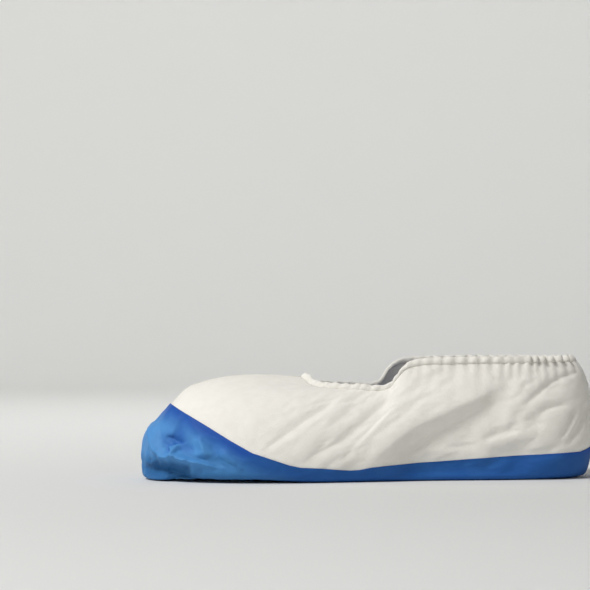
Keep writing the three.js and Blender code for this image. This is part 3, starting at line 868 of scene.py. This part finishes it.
# Where each starts and where it is full, in x and in mm of height or of depth: the painted shade under the
# toes, the painted shade in the pocket, and the hollows that lose paleness as painted shade.
DARK_AHEAD, DARK_BELOW = (-40, -100), (11, 2)
POCKET_DEPTH, POCKET_BELOW = (-2.5, 3.0), (19, 14)
HOLLOW_DEPTH = (0.0, 2.5)
CLOTH_THICK = 0.4
LAP = 3.0  # the nonwoven runs on so far beneath the film
LAP_PRESSED = 1.2  # and is pressed in by so much at its lower edge
FILM_ROWS = 60
SOLE_ROWS = 14
WALL_ROWS = 76

# The sole has more film than floor beneath it, and the rest stands up in low creases across it.
#    direction in which the creases follow each other, spacing in mm, height in mm, start
SOLE_CREASES = (
    ((0.98, 0.20), 37.0, 1.5, 0.15),
    ((0.92, -0.39), 53.0, 1.8, 0.60),
    ((0.80, 0.60), 71.0, 1.3, 0.40),
    ((0.25, 0.97), 34.0, 1.1, 0.50),
)
CREASE_HALF = 3.5  # mm, how far the sides of such a crease reach


def sole_creases(points, out):
    """Low creases on the flat sole: narrow crests in rows, each row along its own direction.

    Each crest bends a little on its way, and is as high as a slow wave says, so that it comes and
    goes. All of them end before the sole's edge, where the share of the way out is 1.
    """
    x, y = points[..., 0], points[..., 1]
    height = np.zeros(x.shape)
    for (ahead, aside), spacing, high, start in SOLE_CREASES:
        place = (ahead * x + aside * y) / spacing + start + 0.10 * np.sin(x / 17 + y / 11)
        away = spacing * np.abs(place % 1.0 - 0.5) / CREASE_HALF
        strength = smooth_step(-0.2, 0.9, np.sin((x * aside - y * ahead) / 15 + 6 * start + x / 40))
        height += high * strength * np.maximum(0, 1 - away) ** 1.5
    return height * smooth_step(1.0, 0.75, out)


def film_piece():
    """The film: from the middle line of the sole out to its edge, and up to the film's edge.

    The sole's rows run straight from a middle line to where the film leaves the floor, and those
    above follow the settled cover, set out from it by a hair where the film lies on the walls.
    """
    up = np.linspace(0, 1, FILM_ROWS)[None, :] * film_share()[:, None]
    plain = plain_form(TURN, up)
    sideways = levelled(outward(plain), 0.0)
    pushed_in = crease_depth(plain, sideways)
    creased = pushed_in + fold_depth(plain, sideways, FILM_LINES) - crumple(plain)
    creased *= smooth_step(0.0, 8.0, np.abs(plain[:, :, 1]))
    side = between(COVER, up)
    proud = FILM_PROUD * smooth_step(0, 3, side[:, :, 2])
    away = levelled(between(NORMAL, up), smooth_step(0, 8, plain[:, :, 2]))
    side += away * (proud - creased)[:, :, None]
    edge = side[:, 0]
    length = MIDDLE_LINE * section("floor_x", TURN)
    middle = np.stack([length, 0 * TURN + TO_MIDDLE[1], 0 * TURN], axis=1)
    middle[:, 2] = toe_spring(middle)
    out = np.linspace(0, 1, SOLE_ROWS, endpoint=False)[None, :, None]
    sole = middle[:, None] * (1 - out) + edge[:, None] * out
    sole[:, :, 2] += sole_creases(sole, out[:, :, 0])
    points = np.concatenate([sole, side], axis=1)
    # Painted shade: darker in the pocket low on the toe, and near the floor under the toes, where the film
    # faces down.
    painted_shade = np.zeros(points.shape[:2])
    under = smooth_step(*DARK_AHEAD, plain[:, :, 0]) * smooth_step(*DARK_BELOW, plain[:, :, 2])
    pocket = smooth_step(*POCKET_DEPTH, pushed_in) * smooth_step(*POCKET_BELOW, plain[:, :, 2])
    painted_shade[:, SOLE_ROWS:] = np.maximum(pocket, SHADE_UNDER_TOES * under)
    # Paleness where the film stands off the cloth, with a painted highlight at the toe's tip.
    loose = pale_and_lit_film(points)
    # Painted shade in the hollows: they lose some of that paleness.
    loose[:, SOLE_ROWS:] *= 1 - HOLLOW_SHADE * smooth_step(*HOLLOW_DEPTH, pushed_in)
    fields = {"loose": loose, "painted_shade": painted_shade}
    return make_piece("film_boat", points, FILM, "boat", FILM_THICK, fields)


def wall_piece(name, side):
    """One wall: the settled cover from beneath the film's edge to the hem, on one side.

    Its columns run from the toe seam to the heel seam, or back from there. At the bottom it is
    pressed in, so that it lies inside the film.
    """
    columns = np.arange(0, HEEL + 1) if side < 0 else np.arange(HEEL, COLUMNS + 1) % COLUMNS
    low = film_share(-LAP)[columns]
    share = low[:, None] + (1 - low[:, None]) * np.linspace(0, 1, WALL_ROWS)[None, :]
    points = between(COVER[columns], share)
    pressed = LAP_PRESSED * smooth_step(0, -LAP, points[:, :, 2] - film_edge(points[:, :, 0]))
    points -= between(NORMAL[columns], share) * pressed[:, :, None]
    return make_piece(name, points, NONWOVEN, "sheet", CLOTH_THICK)


SEAM_HALF = 1.2
SEAM_PROUD = 0.35
# The rib's section, in halves of its width and in heights above the cloth.
SEAM_PROFILE = ((0.0, -0.9), (-1.0, -0.6), (-0.85, 0.7), (-0.4, 1.0), (0.4, 1.0), (0.85, 0.7), (1.0, -0.6))


def seam_piece(name, column):
    """A welded seam: a narrow flat rib carried along one column, from the film's edge to the hem."""
    low = film_share()[[column]]
    share = low[:, None] + (1 - low[:, None]) * np.linspace(0, 1, WALL_ROWS)[None, :]
    middle = between(COVER[[column]], share)[0]
    normal = between(NORMAL[[column]], share)[0]
    sign = -1.0 if column == 0 else 1.0
    across = np.array([0.0, sign, 0.0])
    points = np.stack(
        [middle + across * (SEAM_HALF * a) + normal * (SEAM_PROUD * b) for a, b in SEAM_PROFILE]
    )
    return make_piece(name, points, WELD_CLOTH, "bar")


HEM_HALF_HEIGHT = 2.4
HEM_HALF_DEPTH = 1.3
HEM_UPRIGHT = 0.8  # how far the hem turns up over the instep, against the way the cloth lies
UPRIGHT_AHEAD = (25, -5)  # x where it starts to, and where it has done so
HEM_POINTS = 20


def hem_piece():
    """The elastic hem: a flattened roll round the opening, carried along the rim and puckered.

    Its section is an ellipse. Pleats push it in and out and make it fatter and thinner in turn.
    """
    rim, normal = COVER[:, -1], NORMAL[:, -1]
    up = COVER[:, -1] - COVER[:, -3]
    up /= np.linalg.norm(up, axis=1, keepdims=True)
    up[:, 2] += HEM_UPRIGHT * smooth_step(*UPRIGHT_AHEAD, rim[:, 0])
    up /= np.linalg.norm(up, axis=1, keepdims=True)
    pleat = pleats(TURN, rim)[:, None]
    middle = rim + up * HEM_HALF_HEIGHT * 0.9 - normal * (CLOTH_THICK / 2) + normal * 0.5 * pleat
    angle = np.linspace(0, 2 * np.pi, HEM_POINTS + 1)
    depth = HEM_HALF_DEPTH * (1 + 0.25 * pleat)
    points = (
        middle[:, None]
        + normal[:, None] * (depth * np.cos(angle))[:, :, None]
        + up[:, None] * (HEM_HALF_HEIGHT * np.sin(angle))[None, :, None]
    )
    return make_piece("hem_roll", points, HEM_CLOTH, "ring")


film = film_piece()
outer = wall_piece("outer_wall_cloth", -1)
inner = wall_piece("inner_wall_cloth", 1)
toe_weld = seam_piece("toe_weld", 0)
heel_weld = seam_piece("heel_weld", HEEL)
hem = hem_piece()

for piece, node, finish in (
    (film, "sole_film", "blue_film"),
    (outer, "outer_wall", "white_nonwoven"),
    (inner, "inner_wall", "white_nonwoven"),
    (toe_weld, "toe_seam", "welded_seam"),
    (heel_weld, "heel_seam", "welded_seam"),
    (hem, "opening_hem", "elastic_hem"),
):
    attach(piece, "root")
    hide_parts(node)

# ---------------------------------------------------------------------------------------------
# Floor, light and camera
# ---------------------------------------------------------------------------------------------


def backdrop():
    """A pale floor that curves up all round: a profile of floor, quarter circle and wall, turned."""
    reach, bend, top = 2.6, 0.7, 1.9
    angle = np.linspace(0, np.pi / 2, 16)
    flat = np.linspace(0.0, reach - bend, 8, endpoint=False)
    out = np.r_[flat, reach - bend + bend * np.sin(angle), reach]
    up = np.r_[0 * flat, bend * (1 - np.cos(angle)), top]
    around = np.linspace(0, 2 * np.pi, 96, endpoint=False)
    across, ahead = np.outer(np.cos(around), out), np.outer(np.sin(around), out)
    points = np.stack([across, ahead, np.tile(up, (len(around), 1))], axis=2)
    points[:, 0, 0] = 0.1 * np.cos(around)  # a short middle line in place of one point
    material, _, shader = surface("matt_card")
    shader.inputs["Base Color"].default_value = colour("#E2E2E0")
    shader.inputs["Roughness"].default_value = 0.9
    make_piece("backdrop", points[::-1] / MM, material, "boat")


# Soft light from the upper left, a weak one from the front, and one on the wall behind.
#    name, place and aim in metres, side in metres, power in watts
LIGHTS = (
    ("key", (-1.4, -1.0, 2.1), (0, 0, 0.04), 0.7, 53),
    ("front", (-0.9, -2.2, 0.7), (0, 0, 0.04), 1.2, 1.5),
    ("wall", (0, 0.7, 1.5), (0, 2.6, 0.3), 1.2, 14),
)
SURROUND = 0.08  # the strength of the white light from all sides


def soft_box(name, place, aim, size, power):
    """A square area light at one place, which faces another."""
    light = bpy.data.lights.new(name, "AREA")
    light.size = size
    light.energy = power
    lamp = bpy.data.objects.new(name, light)
    lamp.location = place
    lamp.rotation_euler = (Vector(aim) - Vector(place)).to_track_quat("-Z", "Y").to_euler()
    bpy.context.scene.collection.objects.link(lamp)


def studio():
    """The lights, in a surround of faint white light."""
    for light in LIGHTS:
        soft_box(*light)
    world = bpy.data.worlds.new("surround")
    world.use_nodes = True
    background = world.node_tree.nodes["Background"]
    background.inputs["Color"].default_value = colour("#FFFFFF")
    background.inputs["Strength"].default_value = SURROUND
    bpy.context.scene.world = world
    bpy.context.scene.view_settings.view_transform = "Standard"


CAMERA = {
    "azimuth": -6.0,  # degrees, from square on towards the toe
    "distance": 1.4,
    "height": 0.103,
    "beside": -0.0495,  # to the right of the middle of the cover
    "lens": 128.7,
    "shift_y": 0.0465,
}


def camera():
    """A long lens at low height, level, beside the outer side of the foot."""
    a = math.radians(CAMERA["azimuth"])
    back = Vector((math.sin(a), -math.cos(a), 0))
    right = Vector((math.cos(a), math.sin(a), 0))
    data = bpy.data.cameras.new("camera")
    data.lens = CAMERA["lens"]
    data.sensor_width = 36.0
    data.shift_y = CAMERA["shift_y"]
    eye = bpy.data.objects.new("camera", data)
    eye.location = back * CAMERA["distance"] + right * CAMERA["beside"]
    eye.location.z = CAMERA["height"]
    eye.rotation_euler = (-back).to_track_quat("-Z", "Y").to_euler()
    bpy.context.scene.collection.objects.link(eye)
    bpy.context.scene.camera = eye


backdrop()
studio()
camera()
